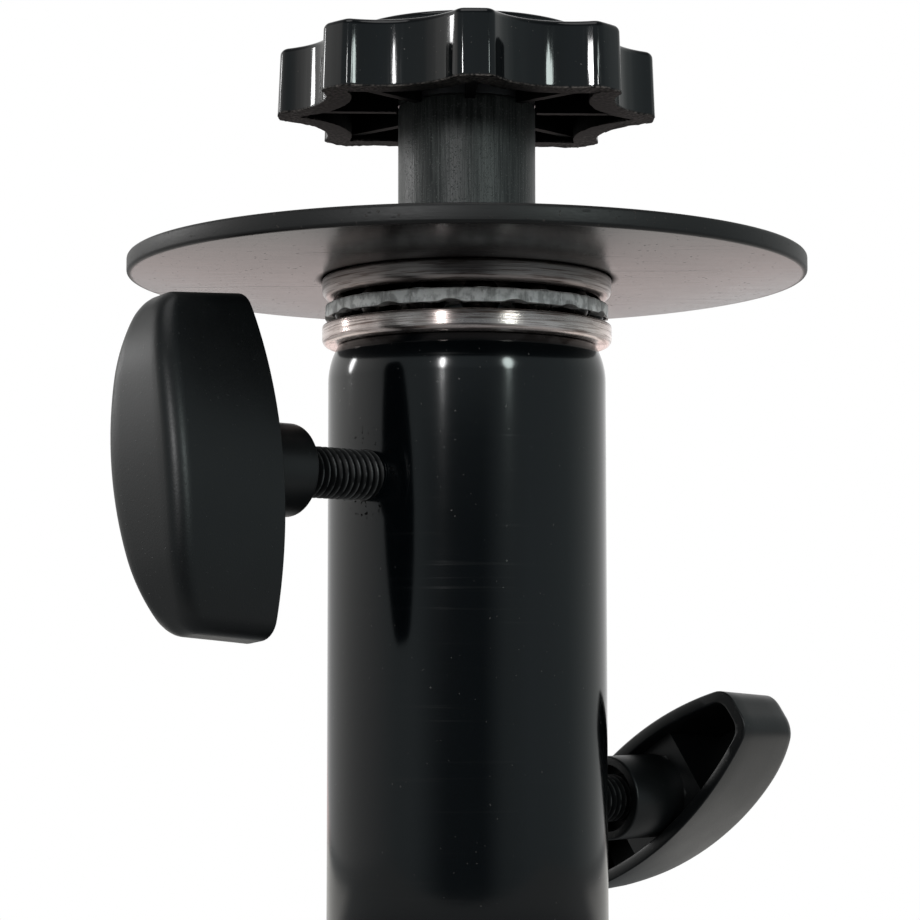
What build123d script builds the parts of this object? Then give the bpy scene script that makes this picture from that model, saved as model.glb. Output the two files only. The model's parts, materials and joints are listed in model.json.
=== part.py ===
from build123d import *
import os
from math import cos, radians, sin

# Swivel head for a stand: a sleeve that slips over a pole and is held by two wing screws,
# a thrust ball bearing on top of it, a round support plate that turns on the bearing,
# and a star knob on the centre bolt that draws the plate and its post down.
# Millimetres, +Z up. The origin is the centre of the sleeve's mouth.

# Sleeve
TUBE_OD = 45.0
TUBE_WALL = 9.5
TUBE_LENGTH = 105.0
SHOULDER_HEIGHT = 6.0
SHOULDER_INSET = 1.6
MOUTH_CHAMFER = 0.8

# Plug in the sleeve's top, with the spigot that centres the bearing
PLUG_DIAMETER = 34.0
PLUG_DEPTH = 16.0
PLUG_CHAMFER = 0.6

# Thrust ball bearing
BEARING_OD = 47.0
BEARING_BORE = 30.0
BEARING_HEIGHT = 11.0
HOUSING_BORE = 32.0
RACE_THICKNESS = 3.3
RACE_EDGE = 0.4
UPPER_RACE_CHAMFER = 1.3
LOWER_RACE_CHAMFER = 1.0
BALL_DIAMETER = 6.35
BALL_CIRCLE = 38.5
BALL_COUNT = 14
CAGE_HEIGHT = 2.5
CAGE_LAND = 0.4
CAGE_SCALLOP = 4.0
CAGE_SCALLOP_RISE = 0.5

# Support plate and the post on it
PLATE_DIAMETER = 110.0
PLATE_THICKNESS = 3.0
PLATE_EDGE = 0.6
POST_OD = 22.4
POST_LENGTH = 25.5
POST_CHAMFER = 0.5

# Centre bolt, lock washer and friction washer
BOLT_DIAMETER = 10.0
BOLT_HEAD_DIAMETER = 16.0
BOLT_HEAD_HEIGHT = 10.0
BOLT_HEAD_EDGE = 0.8
BOLT_KEY = 8.0
BOLT_KEY_DEPTH = 5.0
BOLT_HEAD_RECESS = 0.5
LOCK_WASHER_THICKNESS = 2.2
LOCK_WASHER_SPLIT = 1.1
FRICTION_WASHER_THICKNESS = 1.5

# Star knob
KNOB_DIAMETER = 61.6
KNOB_LOBES = 8
KNOB_TURN = 2.6
KNOB_FLUTE_DEPTH = 5.0
KNOB_LOBE_WIDTH = 5.6
KNOB_LOBE_ROUND = 1.9
KNOB_HEIGHT = 10.8
KNOB_SKIRT = 1.8
KNOB_TOP = 3.6
KNOB_WALL = 4.0
KNOB_DRAFT = 2.0
KNOB_EDGE = 1.1
KNOB_RIB = 1.5
KNOB_RIB_RECESS = 0.8
INSERT_DIAMETER = 15.0
CAP_DIAMETER = 41.6
CAP_HEIGHT = 2.1
CAP_EDGE = 0.9
CAP_LIP_DIAMETER = 19.0
CAP_LIP_WALL = 1.5
CAP_LIP_DEPTH = 1.2
BOLT_END_DROP = 0.5

# Wing screws
SCREW_DIAMETER = 8.0
SCREW_HEAD_KEY = 13.0
SCREW_HEAD_HEIGHT = 5.3
SCREW_POINT = 0.6
UPPER_SCREW_DROP = 22.0
SCREW_SPACING = 52.1
UPPER_SCREW_BACKED_OUT = 4.8
UPPER_WING_TURN = -7.5
LOWER_WING_TURN = 54.0
TIP_DIAMETER = 6.4
TIP_THICKNESS = 1.0
TIP_STEM_DIAMETER = 3.2
TIP_STEM_LENGTH = 3.6
SCREW_REACH = 20.0
TIP_SETBACK = 0.2

# Wing handles
WING_LENGTH = 52.5
WING_WIDTH = 18.9
WING_END_WIDTH = 8.0
WING_END_ROUNDNESS = 0.48
WING_FACE_SHORTER = 2.2
WING_FACE_NARROWER = 2.3
WING_FACE_END_NARROWER = 1.0
WING_DEPTH = 19.4
WING_BOW = 5.6
WING_BOW_MIDDLE = 26.0
WING_BOW_MIDDLE_DROP = 0.7
WING_CREASE = 2.2
WING_WALL = 2.6
WING_RECESS = 3.0
WING_WEB_LENGTH = 22.0
HUB_DIAMETER = 14.2
HUB_LENGTH = 9.1
HUB_RECESS_DIAMETER = 11.4
HUB_RECESS_DEPTH = 4.0
HUB_EDGE = 0.4

# Clearances
PRESS_GAP = 0.02
THREAD_GAP = 0.05
RUNNING_GAP = 0.05
ROLLING_GAP = 0.1
POCKET_GAP = 0.15
LOOSE_GAP = 0.3

# Heights and radii that follow from the sizes above
tube_radius = TUBE_OD / 2
bore_radius = tube_radius - TUBE_WALL
bolt_radius = BOLT_DIAMETER / 2
screw_radius = SCREW_DIAMETER / 2
plug_radius = PLUG_DIAMETER / 2
plug_bottom = TUBE_LENGTH - PLUG_DEPTH
bearing_top = TUBE_LENGTH + BEARING_HEIGHT
ball_height = TUBE_LENGTH + BEARING_HEIGHT / 2
ball_radius = BALL_DIAMETER / 2
ball_circle_radius = BALL_CIRCLE / 2
plate_top = bearing_top + PLATE_THICKNESS
post_top = plate_top + POST_LENGTH
insert_bottom = post_top + FRICTION_WASHER_THICKNESS
knob_bottom = post_top - KNOB_SKIRT
knob_top = knob_bottom + KNOB_HEIGHT
bolt_top = knob_top - BOLT_END_DROP
head_bottom = plug_bottom + BOLT_HEAD_RECESS
head_top = head_bottom + BOLT_HEAD_HEIGHT
lock_washer_top = head_top + LOCK_WASHER_THICKNESS
upper_screw_height = TUBE_LENGTH - UPPER_SCREW_DROP
lower_screw_height = upper_screw_height - SCREW_SPACING
lower_hub_end = bore_radius + TIP_SETBACK + SCREW_REACH
upper_hub_end = lower_hub_end + UPPER_SCREW_BACKED_OUT

# Outward frames of the two screws: Z along the screw, X along the wing, origin at the hub's end
upper_turn = radians(UPPER_WING_TURN)
lower_turn = radians(LOWER_WING_TURN)
UPPER_SCREW = Plane(
    origin=(-upper_hub_end, 0, upper_screw_height),
    x_dir=(0, -sin(upper_turn), cos(upper_turn)),
    z_dir=(-1, 0, 0),
)
LOWER_SCREW = Plane(
    origin=(lower_hub_end, 0, lower_screw_height),
    x_dir=(0, -sin(lower_turn), cos(lower_turn)),
    z_dir=(1, 0, 0),
)


def finish(piece, name):
    """Label a finished piece and write its STEP file."""
    piece.part.label = name
    export_step(piece.part, f"parts/{name}.step")


def sleeve_tube():
    """Thick-walled steel sleeve: pole socket, seat for the plug, rounded shoulder, tapped screw holes."""
    with BuildPart() as tube:
        with BuildSketch(Plane.XZ):
            with BuildLine():
                shoulder = (tube_radius, TUBE_LENGTH - SHOULDER_HEIGHT)
                crown = (tube_radius - SHOULDER_INSET, TUBE_LENGTH)
                Line((bore_radius, 0), (tube_radius, 0))
                Line((tube_radius, 0), shoulder)
                TangentArc(shoulder, crown, tangent=(0, 1))
                Polyline(
                    crown,
                    (plug_radius, TUBE_LENGTH),
                    (plug_radius, plug_bottom),
                    (bore_radius, plug_bottom),
                    (bore_radius, 0),
                )
            make_face()
        revolve(axis=Axis.Z)
        mouth = tube.faces().sort_by(Axis.Z)[0]
        chamfer(mouth.edges(), MOUTH_CHAMFER)
        for frame in (UPPER_SCREW, LOWER_SCREW):
            with BuildSketch(Plane(frame.origin, z_dir=-frame.z_dir)):
                Circle(screw_radius + THREAD_GAP)
            extrude(amount=upper_hub_end, mode=Mode.SUBTRACT)
    finish(tube, "sleeve_tube")


def end_plug():
    """Turned plug pressed into the sleeve, with a spigot up through the bearing."""
    spigot_top = bearing_top - LOOSE_GAP
    with BuildPart() as plug:
        with BuildSketch(Plane.XY.offset(plug_bottom)):
            Circle(plug_radius - PRESS_GAP)
        extrude(amount=PLUG_DEPTH)
        chamfer(plug.faces().sort_by(Axis.Z)[0].edges(), PLUG_CHAMFER)
        with BuildSketch(Plane.XY.offset(TUBE_LENGTH)):
            Circle(BEARING_BORE / 2 - RUNNING_GAP)
        extrude(amount=spigot_top - TUBE_LENGTH)
        chamfer(plug.faces().sort_by(Axis.Z)[-1].edges(), PLUG_CHAMFER)
        with BuildSketch(Plane.XY.offset(plug_bottom)):
            Circle(bolt_radius + THREAD_GAP)
        extrude(amount=spigot_top - plug_bottom, mode=Mode.SUBTRACT)
        with BuildSketch(Plane.XY.offset(plug_bottom)):
            Circle(BOLT_HEAD_DIAMETER / 2 + LOOSE_GAP)
        extrude(amount=lock_washer_top - plug_bottom, mode=Mode.SUBTRACT)
    finish(plug, "end_plug")


def centre_bolt():
    """Socket-head bolt from the plug up to the knob."""
    with BuildPart() as bolt:
        with BuildSketch(Plane.XY.offset(head_bottom)):
            Circle(BOLT_HEAD_DIAMETER / 2)
        extrude(amount=BOLT_HEAD_HEIGHT)
        fillet(bolt.edges().group_by(Axis.Z)[0], BOLT_HEAD_EDGE)
        with BuildSketch(Plane.XY.offset(head_top)):
            Circle(bolt_radius)
        extrude(amount=bolt_top - head_top)
        chamfer(bolt.edges().group_by(Axis.Z)[-1], SCREW_POINT)
        with BuildSketch(Plane.XY.offset(head_bottom)):
            RegularPolygon(BOLT_KEY / 2, 6, major_radius=False)
        extrude(amount=BOLT_KEY_DEPTH, mode=Mode.SUBTRACT)
    finish(bolt, "centre_bolt")


def lock_washer():
    """Split spring washer under the bolt's head."""
    with BuildPart() as washer:
        with BuildSketch(Plane.XY.offset(head_top)):
            Circle(BOLT_HEAD_DIAMETER / 2)
            Circle(bolt_radius + LOOSE_GAP, mode=Mode.SUBTRACT)
            with Locations((BOLT_HEAD_DIAMETER / 2, 0)):
                Rectangle(BOLT_HEAD_DIAMETER, LOCK_WASHER_SPLIT, mode=Mode.SUBTRACT)
        extrude(amount=LOCK_WASHER_THICKNESS)
    finish(washer, "lock_washer")


def bearing_race(name, base, toward_balls, bore, outer_chamfer):
    """One washer of the thrust bearing, with its ball groove."""
    seat = min(base, base + toward_balls * RACE_THICKNESS)
    with BuildPart() as race:
        with BuildSketch(Plane.XY.offset(seat)):
            Circle(BEARING_OD / 2)
            Circle(bore / 2, mode=Mode.SUBTRACT)
        extrude(amount=RACE_THICKNESS)
        rims = race.edges().filter_by(GeomType.CIRCLE).sort_by(SortBy.RADIUS)[-2:].sort_by(Axis.Z)
        chamfer(rims[0], outer_chamfer)
        chamfer(rims[1], RACE_EDGE)
        with BuildSketch(Plane.XZ):
            with Locations((ball_circle_radius, ball_height)):
                Circle(ball_radius + ROLLING_GAP)
        revolve(axis=Axis.Z, mode=Mode.SUBTRACT)
    finish(race, name)


def ball_cage():
    """Pressed cage ring: a pocket for each ball and a scalloped lower edge."""
    low = ball_height - CAGE_HEIGHT / 2
    inner = BEARING_BORE / 2 + CAGE_LAND
    outer = BEARING_OD / 2 - CAGE_LAND
    with BuildPart() as cage:
        with BuildSketch(Plane.XY.offset(low)):
            Circle(outer)
            Circle(inner, mode=Mode.SUBTRACT)
            with PolarLocations(ball_circle_radius, BALL_COUNT):
                Circle(ball_radius + POCKET_GAP, mode=Mode.SUBTRACT)
        extrude(amount=CAGE_HEIGHT)
        half_step = 360 / BALL_COUNT / 2
        drop = CAGE_SCALLOP - CAGE_SCALLOP_RISE
        for i in range(BALL_COUNT):
            angle = radians(i * 360 / BALL_COUNT + half_step)
            outward = (cos(angle), sin(angle), 0)
            with BuildSketch(Plane(origin=(0, 0, low - drop), z_dir=outward)):
                Circle(CAGE_SCALLOP)
            extrude(amount=BEARING_OD, mode=Mode.SUBTRACT)
    finish(cage, "ball_cage")


def bearing_balls():
    """The ring of steel balls."""
    with BuildPart(Plane.XY.offset(ball_height)) as balls:
        with PolarLocations(ball_circle_radius, BALL_COUNT):
            Sphere(ball_radius)
    finish(balls, "bearing_balls")


def support_plate():
    """Round steel plate that carries the load and turns on the bearing."""
    with BuildPart() as plate:
        with BuildSketch(Plane.XY.offset(bearing_top)):
            Circle(PLATE_DIAMETER / 2)
            Circle(bolt_radius + LOOSE_GAP, mode=Mode.SUBTRACT)
        extrude(amount=PLATE_THICKNESS)
        rims = plate.edges().filter_by(GeomType.CIRCLE).sort_by(SortBy.RADIUS)[-2:]
        fillet(rims, PLATE_EDGE)
    finish(plate, "support_plate")


def spacer_post():
    """Thick spacer tube between the plate and the knob."""
    with BuildPart() as post:
        with BuildSketch(Plane.XY.offset(plate_top)):
            Circle(POST_OD / 2)
            Circle(bolt_radius + LOOSE_GAP, mode=Mode.SUBTRACT)
        extrude(amount=POST_LENGTH)
        rims = post.edges().filter_by(GeomType.CIRCLE).sort_by(SortBy.RADIUS)[-2:]
        chamfer(rims.sort_by(Axis.Z)[-1], POST_CHAMFER)
    finish(post, "spacer_post")


def friction_washer():
    """Plain washer that stays under the knob and lets the post turn below it."""
    with BuildPart() as washer:
        with BuildSketch(Plane.XY.offset(post_top)):
            Circle(POST_OD / 2)
            Circle(bolt_radius + LOOSE_GAP, mode=Mode.SUBTRACT)
        extrude(amount=FRICTION_WASHER_THICKNESS)
    finish(washer, "friction_washer")


def star_outline(inset, corner):
    """Lobed outline: a disc with a round flute between each pair of lobes, the flutes deeper by the inset."""
    radius = KNOB_DIAMETER / 2
    step = 360 / KNOB_LOBES
    flute_bottom = radius - KNOB_FLUTE_DEPTH
    beta = radians(step / 2) - KNOB_LOBE_WIDTH / 2 / radius
    rise = radius * cos(beta) - flute_bottom
    flute_radius = (rise**2 + (radius * sin(beta)) ** 2) / (2 * rise)
    with BuildSketch() as outline:
        Circle(radius)
        with PolarLocations(flute_bottom + flute_radius, KNOB_LOBES, start_angle=step / 2 + KNOB_TURN):
            Circle(flute_radius + inset, mode=Mode.SUBTRACT)
        if corner:
            fillet(outline.vertices(), corner)
    return outline.sketch


def star_knob():
    """Moulded star knob: lobed rim with draft, star-shaped hollow below, a hub and a rib behind each lobe."""
    rib_reach = KNOB_DIAMETER / 2 - KNOB_WALL / 2
    ceiling = knob_top - KNOB_TOP
    rib_bottom = knob_bottom + KNOB_RIB_RECESS
    bore = INSERT_DIAMETER / 2 + PRESS_GAP
    with BuildPart() as knob:
        with BuildSketch(Plane.XY.offset(knob_bottom)):
            add(star_outline(0, KNOB_LOBE_ROUND))
        extrude(amount=KNOB_HEIGHT, taper=KNOB_DRAFT)
        fillet(knob.faces().sort_by(Axis.Z)[-1].edges(), KNOB_EDGE)
        with BuildSketch(Plane.XY.offset(knob_bottom)):
            add(star_outline(KNOB_WALL, 0))
        extrude(amount=ceiling - knob_bottom, mode=Mode.SUBTRACT)
        with BuildSketch(Plane.XY.offset(insert_bottom)):
            Circle(POST_OD / 2)
        extrude(amount=ceiling - insert_bottom)
        # The ribs stop short of the post below the hub and run into the hub above it
        for rib_base, inner in ((rib_bottom, POST_OD / 2 + LOOSE_GAP), (insert_bottom, bore)):
            with BuildSketch(Plane.XY.offset(rib_base)):
                with PolarLocations(rib_reach / 2, KNOB_LOBES, start_angle=KNOB_TURN):
                    Rectangle(rib_reach, KNOB_RIB)
                Circle(inner, mode=Mode.SUBTRACT)
            extrude(amount=ceiling - rib_base)
        with BuildSketch(Plane.XY.offset(insert_bottom)):
            Circle(bore)
        extrude(amount=knob_top - insert_bottom, mode=Mode.SUBTRACT)
        with BuildSketch(Plane.XY.offset(knob_top - CAP_LIP_DEPTH)):
            Circle(CAP_LIP_DIAMETER / 2 + PRESS_GAP)
            Circle(CAP_LIP_DIAMETER / 2 - CAP_LIP_WALL - PRESS_GAP, mode=Mode.SUBTRACT)
        extrude(amount=CAP_LIP_DEPTH, mode=Mode.SUBTRACT)
    finish(knob, "star_knob")


def knob_insert():
    """Threaded metal insert moulded into the knob's hub."""
    with BuildPart() as insert:
        with BuildSketch(Plane.XY.offset(insert_bottom)):
            Circle(INSERT_DIAMETER / 2)
            Circle(bolt_radius + THREAD_GAP, mode=Mode.SUBTRACT)
        extrude(amount=knob_top - insert_bottom)
    finish(insert, "knob_insert")


def knob_cap():
    """Round cap that closes the knob's top over the bolt's end."""
    with BuildPart() as cap:
        with BuildSketch(Plane.XY.offset(knob_top)):
            Circle(CAP_DIAMETER / 2)
        extrude(amount=CAP_HEIGHT)
        fillet(cap.edges().group_by(Axis.Z)[-1], CAP_EDGE)
        with BuildSketch(Plane.XY.offset(knob_top - CAP_LIP_DEPTH)):
            Circle(CAP_LIP_DIAMETER / 2)
            Circle(CAP_LIP_DIAMETER / 2 - CAP_LIP_WALL, mode=Mode.SUBTRACT)
        extrude(amount=CAP_LIP_DEPTH)
    finish(cap, "knob_cap")


def lens(length, width, end_width):
    """Plan of a wing: two bowed sides and blunt, rounded ends."""
    half, side, end = length / 2, width / 2, end_width / 2
    with BuildSketch() as plan:
        with BuildLine():
            ThreePointArc((-half, end), (0, side), (half, end))
            Line((half, end), (half, -end))
            ThreePointArc((half, -end), (0, -side), (-half, -end))
            Line((-half, -end), (-half, end))
        make_face()
        fillet(plan.vertices(), end_width * WING_END_ROUNDNESS)
    return plan.sketch


def wing_block(frame, inset):
    """The wing's outer form, or with an inset the core that hollows it."""
    rim = frame.offset(HUB_LENGTH)
    face = frame.offset(HUB_LENGTH + WING_DEPTH)
    side = Plane(frame.origin, x_dir=frame.x_dir, z_dir=frame.y_dir)
    length = WING_LENGTH - 2 * inset
    width = WING_WIDTH - 2 * inset
    end_width = WING_END_WIDTH - 2 * inset
    half = WING_LENGTH / 2
    face_mid = -(HUB_LENGTH + WING_DEPTH - inset)
    face_end = face_mid + WING_BOW
    flat, face_flat = WING_BOW_MIDDLE / 2, face_mid + WING_BOW_MIDDLE_DROP
    with BuildPart() as block:
        with BuildSketch(rim):
            add(lens(length, width, end_width))
        with BuildSketch(face):
            add(lens(length - WING_FACE_SHORTER, width - WING_FACE_NARROWER, end_width - WING_FACE_END_NARROWER))
        loft()
        with BuildSketch(side):
            with BuildLine():
                middle = ThreePointArc((-flat, face_flat), (0, face_mid), (flat, face_flat))
                TangentArc((-flat, face_flat), (-half, face_end), tangent=-(middle % 0))
                TangentArc((flat, face_flat), (half, face_end), tangent=middle % 1)
                Line((half, face_end), (half, -HUB_LENGTH))
                Line((half, -HUB_LENGTH), (-half, -HUB_LENGTH))
                Line((-half, -HUB_LENGTH), (-half, face_end))
            make_face()
        extrude(amount=WING_WIDTH, both=True, mode=Mode.INTERSECT)
    return block


def is_face_seam(edge):
    """A straight edge across a wing, where two of the arcs of its bowed face meet."""
    return edge.geom_type == GeomType.LINE and edge.length > WING_END_WIDTH


def wing_handle(name, frame):
    """Moulded wing: bowed face, drawn-in flanks, hollow back with a web and a hub for the screw."""
    core = wing_block(frame, WING_WALL)
    outward = Axis(frame.origin, frame.z_dir)
    recess = frame.offset(HUB_LENGTH + WING_RECESS)
    with BuildPart() as web:
        with BuildSketch(recess):
            Rectangle(WING_WEB_LENGTH, WING_WIDTH)
        extrude(amount=WING_DEPTH)
    with BuildPart() as handle:
        add(wing_block(frame, 0).part)
        face_edges = handle.faces().sort_by(outward)[-3:].edges()
        fillet(face_edges.filter_by(is_face_seam, reverse=True), WING_CREASE)
        add(core.part - web.part, mode=Mode.SUBTRACT)
        with BuildSketch(frame):
            Circle(HUB_DIAMETER / 2)
        extrude(amount=HUB_LENGTH + WING_RECESS)
        chamfer(handle.edges().sort_by(outward)[0], HUB_EDGE)
        with BuildSketch(frame):
            Circle(HUB_RECESS_DIAMETER / 2)
        extrude(amount=HUB_RECESS_DEPTH, mode=Mode.SUBTRACT)
        with BuildSketch(frame):
            Circle(screw_radius + PRESS_GAP)
        extrude(amount=HUB_LENGTH + WING_RECESS, mode=Mode.SUBTRACT)
        with BuildSketch(recess):
            RegularPolygon(SCREW_HEAD_KEY / 2 + PRESS_GAP, 6, major_radius=False)
        extrude(amount=SCREW_HEAD_HEIGHT + PRESS_GAP, mode=Mode.SUBTRACT)
    finish(handle, name)


def clamp_screw(name, frame):
    """Screw moulded into a wing by its hex head, bored at the end for the pressure tip."""
    head = frame.offset(HUB_LENGTH + WING_RECESS)
    end = frame.offset(-SCREW_REACH + TIP_THICKNESS + RUNNING_GAP)
    inward = Axis(frame.origin, -frame.z_dir)
    with BuildPart() as screw:
        with BuildSketch(end):
            Circle(screw_radius)
        extrude(amount=SCREW_REACH - TIP_THICKNESS - RUNNING_GAP + HUB_LENGTH + WING_RECESS)
        chamfer(screw.edges().sort_by(inward)[-1], SCREW_POINT)
        with BuildSketch(head):
            RegularPolygon(SCREW_HEAD_KEY / 2, 6, major_radius=False)
        extrude(amount=SCREW_HEAD_HEIGHT)
        with BuildSketch(end):
            Circle(TIP_STEM_DIAMETER / 2 + RUNNING_GAP)
        extrude(amount=TIP_STEM_LENGTH + LOOSE_GAP, mode=Mode.SUBTRACT)
    finish(screw, name)


def pressure_tip(name, frame):
    """Tip that the screw pushes along: it meets the pole and does not turn with the screw."""
    with BuildPart() as tip:
        with BuildSketch(frame.offset(-SCREW_REACH)):
            Circle(TIP_DIAMETER / 2)
        extrude(amount=TIP_THICKNESS)
        with BuildSketch(frame.offset(-SCREW_REACH + TIP_THICKNESS)):
            Circle(TIP_STEM_DIAMETER / 2)
        extrude(amount=TIP_STEM_LENGTH)
    finish(tip, name)


os.makedirs("parts", exist_ok=True)
sleeve_tube()
end_plug()
centre_bolt()
lock_washer()
bearing_race("lower_bearing_washer", TUBE_LENGTH, 1, HOUSING_BORE, LOWER_RACE_CHAMFER)
ball_cage()
bearing_balls()
bearing_race("upper_bearing_washer", bearing_top, -1, BEARING_BORE, UPPER_RACE_CHAMFER)
support_plate()
spacer_post()
friction_washer()
star_knob()
knob_insert()
knob_cap()
for place, frame in (("upper", UPPER_SCREW), ("lower", LOWER_SCREW)):
    wing_handle(f"{place}_wing_handle", frame)
    clamp_screw(f"{place}_clamp_screw", frame)
    pressure_tip(f"{place}_pressure_tip", frame)
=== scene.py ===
import json
from math import acos, asin, atan2, cos, pi, radians, sin, sqrt

import bmesh
import bpy
from bpy.props import FloatProperty, FloatVectorProperty, IntProperty, PointerProperty
from mathutils import Matrix, Vector


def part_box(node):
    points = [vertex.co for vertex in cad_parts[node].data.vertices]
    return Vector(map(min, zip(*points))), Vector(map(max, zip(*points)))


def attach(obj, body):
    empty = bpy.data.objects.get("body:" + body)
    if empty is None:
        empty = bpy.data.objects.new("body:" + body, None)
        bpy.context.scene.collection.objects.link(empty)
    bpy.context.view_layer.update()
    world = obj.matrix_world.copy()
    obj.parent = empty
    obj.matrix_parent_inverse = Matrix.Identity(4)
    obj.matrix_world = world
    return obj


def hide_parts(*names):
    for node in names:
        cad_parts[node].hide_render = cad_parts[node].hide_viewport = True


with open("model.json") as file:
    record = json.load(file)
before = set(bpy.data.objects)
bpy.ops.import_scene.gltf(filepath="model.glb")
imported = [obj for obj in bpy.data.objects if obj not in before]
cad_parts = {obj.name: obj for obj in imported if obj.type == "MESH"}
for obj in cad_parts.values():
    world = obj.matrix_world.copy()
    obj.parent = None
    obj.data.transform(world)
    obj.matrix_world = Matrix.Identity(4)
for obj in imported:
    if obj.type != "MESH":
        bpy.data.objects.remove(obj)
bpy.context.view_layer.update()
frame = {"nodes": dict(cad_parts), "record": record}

bl_info = {
    "name": "Stand Swivel Head",
    "version": (1, 0, 0),
    "blender": (4, 5, 0),
    "location": "View3D > Sidebar > Swivel Head",
    "description": "Builds a stand's swivel head: sleeve, bearing, plate, star knob and wing screws",
    "category": "Object",
}

MM = 0.001
ROUND = 192

SLOTS = {part["node"]: part["material_slot"] for part in frame["record"]["subparts"]}
BODIES = {node: body for body, nodes in frame["record"]["behaviour"]["bodies"].items() for node in nodes}


def cad_size(node, axis):
    """Size of a CAD node along an axis (0, 1 or 2), in metres."""
    low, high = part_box(node)
    return high[axis] - low[axis]


def cad_radius(node):
    """Half the size of a CAD node along X, in mm."""
    return cad_size(node, 0) / 2 / MM


def cad_levels(node):
    """Heights of a CAD node's lowest and highest points, in mm."""
    return [corner.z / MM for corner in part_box(node)]


# Modelling helpers, all in mm


def start_fresh():
    """Leave edit mode and deselect everything."""
    if bpy.context.object and bpy.context.object.mode != "OBJECT":
        bpy.ops.object.mode_set(mode="OBJECT")
    bpy.ops.object.select_all(action="DESELECT")


def only(piece):
    """Make one object the selected and active one."""
    start_fresh()
    piece.select_set(True)
    bpy.context.view_layer.objects.active = piece


def named(name):
    """Name the primitive that was just added."""
    piece = bpy.context.object
    piece.name = piece.data.name = name
    return piece


def point(name, place):
    """Start a mesh as one point, in edit mode: a plane merged to its middle and moved to its place."""
    start_fresh()
    bpy.ops.mesh.primitive_plane_add(size=MM, enter_editmode=True)
    piece = named(name)
    bpy.ops.mesh.select_mode(type="VERT")
    bpy.ops.mesh.select_all(action="SELECT")
    bpy.ops.mesh.merge(type="CENTER")
    bpy.ops.transform.translate(value=[c * MM for c in place])
    return piece


def pick(piece, kind, test):
    """Select just the edges or faces of the mesh in edit mode that pass a test."""
    bpy.ops.mesh.select_mode(type=kind)
    bpy.ops.mesh.select_all(action="DESELECT")
    mesh = bmesh.from_edit_mesh(piece.data)
    for item in mesh.edges if kind == "EDGE" else mesh.faces:
        item.select_set(test(item))
    bmesh.update_edit_mesh(piece.data)


def turned(name, profile, solid=False, segments=ROUND):
    """Turn a profile of (radius, height) points: a circle, extruded and resized from point to point."""
    start_fresh()
    radius, height = profile[0]
    fill = "NGON" if solid else "NOTHING"
    bpy.ops.mesh.primitive_circle_add(vertices=segments, radius=radius * MM, fill_type=fill, enter_editmode=True)
    piece = named(name)
    bpy.ops.transform.translate(value=(0, 0, height * MM))
    for next_radius, next_height in profile[1:] + ([] if solid else profile[:1]):
        move = {"value": (0, 0, (next_height - height) * MM)}
        if solid:
            bpy.ops.mesh.extrude_region_move(TRANSFORM_OT_translate=move)
        else:
            bpy.ops.mesh.extrude_edges_move(TRANSFORM_OT_translate=move)
        scale = next_radius / radius
        bpy.ops.transform.resize(value=(scale, scale, 1), center_override=(0, 0, next_height * MM))
        radius, height = next_radius, next_height
    clean(piece)
    return piece


def clean(piece):
    """Merge doubles and turn the normals outwards, and stay in edit mode."""
    if piece.mode != "EDIT":
        only(piece)
        bpy.ops.object.mode_set(mode="EDIT")
    bpy.ops.mesh.select_mode(type="VERT")
    bpy.ops.mesh.select_all(action="SELECT")
    bpy.ops.mesh.remove_doubles(threshold=0.001 * MM)
    bpy.ops.mesh.normals_make_consistent(inside=False)


def close(piece):
    """Fill the slits that a cut left open, turn the normals outwards and leave edit mode."""
    clean(piece)
    bpy.ops.mesh.dissolve_degenerate(threshold=0.002 * MM)
    bpy.ops.mesh.select_all(action="SELECT")
    bpy.ops.mesh.fill_holes(sides=0)
    bpy.ops.mesh.select_all(action="SELECT")
    bpy.ops.mesh.normals_make_consistent(inside=False)
    bpy.ops.object.mode_set(mode="OBJECT")


def ease(piece, rings, width, steps=4):
    """Round the turned edges that lie at the given (radius, height) places."""

    def on_ring(edge):
        return any(
            all(abs(v.co.xy.length / MM - r) < 0.01 and abs(v.co.z / MM - z) < 0.01 for v in edge.verts)
            for r, z in rings
        )

    pick(piece, "EDGE", on_ring)
    bpy.ops.mesh.bevel(offset=width * MM, segments=steps, affect="EDGES")


def bar(radius, low, high, place=(0, 0, 0), turn=(0, 0, 0), sides=96):
    """Round or many-sided bar between two distances along its own Z, used to cut or to add."""
    start_fresh()
    middle = Matrix.Translation(Vector(place) * MM) @ Matrix.Rotation(turn[2], 4, "Z")
    middle = middle @ Matrix.Rotation(turn[1], 4, "Y") @ Matrix.Translation((0, 0, (low + high) / 2 * MM))
    bpy.ops.mesh.primitive_cylinder_add(vertices=sides, radius=radius * MM, depth=(high - low) * MM)
    piece = bpy.context.object
    piece.matrix_world = middle
    bpy.ops.object.transform_apply()
    return piece


def block(low, high, turn=0.0):
    """Box between two corners, turned about Z, used to cut or to add."""
    start_fresh()
    bpy.ops.mesh.primitive_cube_add(size=1, enter_editmode=True)
    piece = bpy.context.object
    low, high = Vector(low) * MM, Vector(high) * MM
    bpy.ops.transform.resize(value=high - low)
    bpy.ops.transform.translate(value=(low + high) / 2)
    bpy.ops.object.mode_set(mode="OBJECT")
    piece.matrix_world = Matrix.Rotation(turn, 4, "Z")
    bpy.ops.object.transform_apply()
    return piece


def joined(pieces):
    """Join several objects into the first."""
    start_fresh()
    for piece in pieces:
        piece.select_set(True)
    bpy.context.view_layer.objects.active = pieces[0]
    bpy.ops.object.join()
    return pieces[0]


def changed(piece, kind, **settings):
    """Give a piece a modifier with its settings and apply it."""
    only(piece)
    modifier = piece.modifiers.new(kind, kind)
    for key, value in settings.items():
        setattr(modifier, key, value)
    bpy.ops.object.modifier_apply(modifier=modifier.name)


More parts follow.
